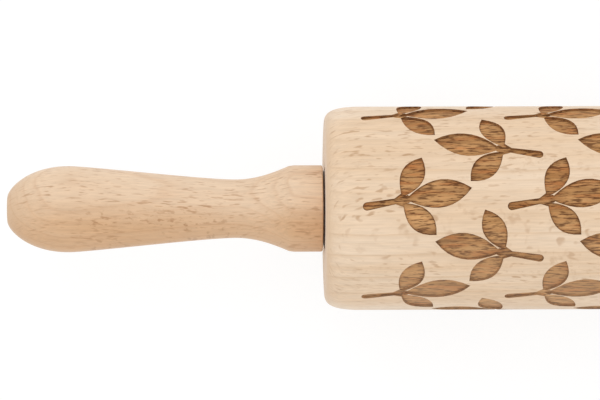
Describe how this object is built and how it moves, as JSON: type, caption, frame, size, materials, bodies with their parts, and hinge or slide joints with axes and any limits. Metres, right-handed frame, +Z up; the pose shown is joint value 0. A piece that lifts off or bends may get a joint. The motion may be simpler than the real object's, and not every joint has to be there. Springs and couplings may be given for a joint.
{
  "type": "rolling pin",
  "caption": "Wooden rolling pin with a pattern-engraved barrel that spins on a through axle between two turned handles.",
  "frame": {"origin": "middle of the barrel's length and width, on the surface that the barrel rests on", "axes": "+X along the pin's axis from the left handle to the right handle, +Z up from the surface it rests on"},
  "size_m": [0.4268, 0.0604, 0.06],
  "materials": {
    "barrel_beech": "unvarnished turned and sanded beech, with burnt brown engraved pockets",
    "handle_beech": "unvarnished turned and sanded beech",
    "axle_steel": "drawn steel rod",
    "washer_steel": "stamped steel",
    "bush_nylon": "moulded natural nylon",
    "insert_brass": "turned brass"
  },
  "bodies": {
    "grips": {"axle_rod": "axle_steel", "thrust_washer_left": "washer_steel", "thrust_washer_right": "washer_steel", "threaded_insert_left": "insert_brass", "threaded_insert_right": "insert_brass", "handle_left": "handle_beech", "handle_right": "handle_beech"},
    "barrel": {"roller_barrel": "barrel_beech", "bush_left": "bush_nylon", "bush_right": "bush_nylon"}
  },
  "joints": [
    {"name": "barrel_spin", "type": "hinge", "parent": "grips", "child": "barrel", "pos_m": [0, 0, 0.03], "axis": [1, 0, 0], "continuous": true}
  ]
}
